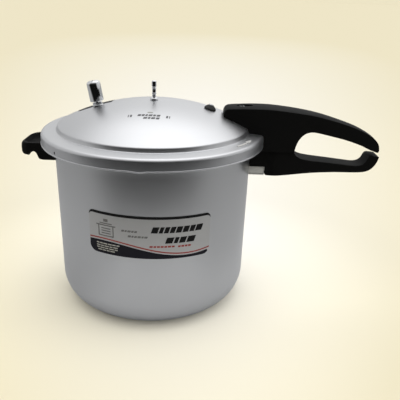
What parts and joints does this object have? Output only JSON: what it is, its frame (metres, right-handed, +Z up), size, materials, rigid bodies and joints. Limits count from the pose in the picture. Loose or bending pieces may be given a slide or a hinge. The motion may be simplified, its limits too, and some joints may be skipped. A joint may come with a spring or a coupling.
{
  "type": "pressure canner",
  "caption": "Outer-lid bayonet pressure canner: deep aluminium pot, domed locking lid with lift-off weight, pressure pin and safety plug, long loop handle and helper handle.",
  "frame": {"origin": "on the pot's axis, at the flat underside of the base", "axes": "+Z up along the pot's axis, +X towards the long handle, -Y towards the label"},
  "size_m": [0.4468, 0.2744, 0.2804],
  "materials": {
    "spun_aluminium": "satin, spun and lightly brushed",
    "cast_aluminium": "as cast, tumbled",
    "chrome": "polished plate",
    "steel": "turned, bright",
    "phenolic": "compression-moulded phenolic, semi-matt",
    "rubber": "moulded, matt",
    "silicone": "moulded, satin",
    "label_foil": "printed self-adhesive foil"
  },
  "bodies": {
    "pot": {"pot_shell": "spun_aluminium", "pot_label": "label_foil", "pot_bracket": "cast_aluminium", "pot_handle": "phenolic", "pot_handle_screw": "steel", "pot_rivet_left": "cast_aluminium", "pot_rivet_right": "cast_aluminium", "helper_bracket": "cast_aluminium", "helper_handle": "phenolic", "helper_screw": "steel", "helper_rivet_left": "cast_aluminium", "helper_rivet_right": "cast_aluminium"},
    "lid": {"lid_shell": "spun_aluminium", "lid_gasket": "silicone", "lid_handle": "phenolic", "lid_handle_bracket": "steel", "lid_handle_boss": "cast_aluminium", "lid_handle_screw_front": "steel", "lid_handle_screw_rear": "steel", "vent_pipe": "steel", "vent_washer": "rubber", "vent_nut": "steel", "indicator_bush": "chrome", "indicator_nut": "steel", "safety_plug": "rubber", "safety_plug_core": "steel"},
    "weight": {"weight_body": "chrome", "weight_needle": "steel"},
    "indicator": {"indicator_pin": "chrome", "indicator_seal": "silicone", "indicator_clip": "steel"}
  },
  "joints": [
    {"name": "lid_turn", "type": "hinge", "parent": "pot", "child": "lid", "pos_m": [0, 0, 0.214], "axis": [0, 0, 1], "range_deg": [0, 30]},
    {"name": "weight_lift", "type": "slide", "parent": "lid", "child": "weight", "axis": [-0.1736, 0, 0.9848], "range_m": [0, 0.03]},
    {"name": "indicator_rise", "type": "slide", "parent": "lid", "child": "indicator", "axis": [0, 0, 1], "range_m": [0, 0.004]}
  ]
}
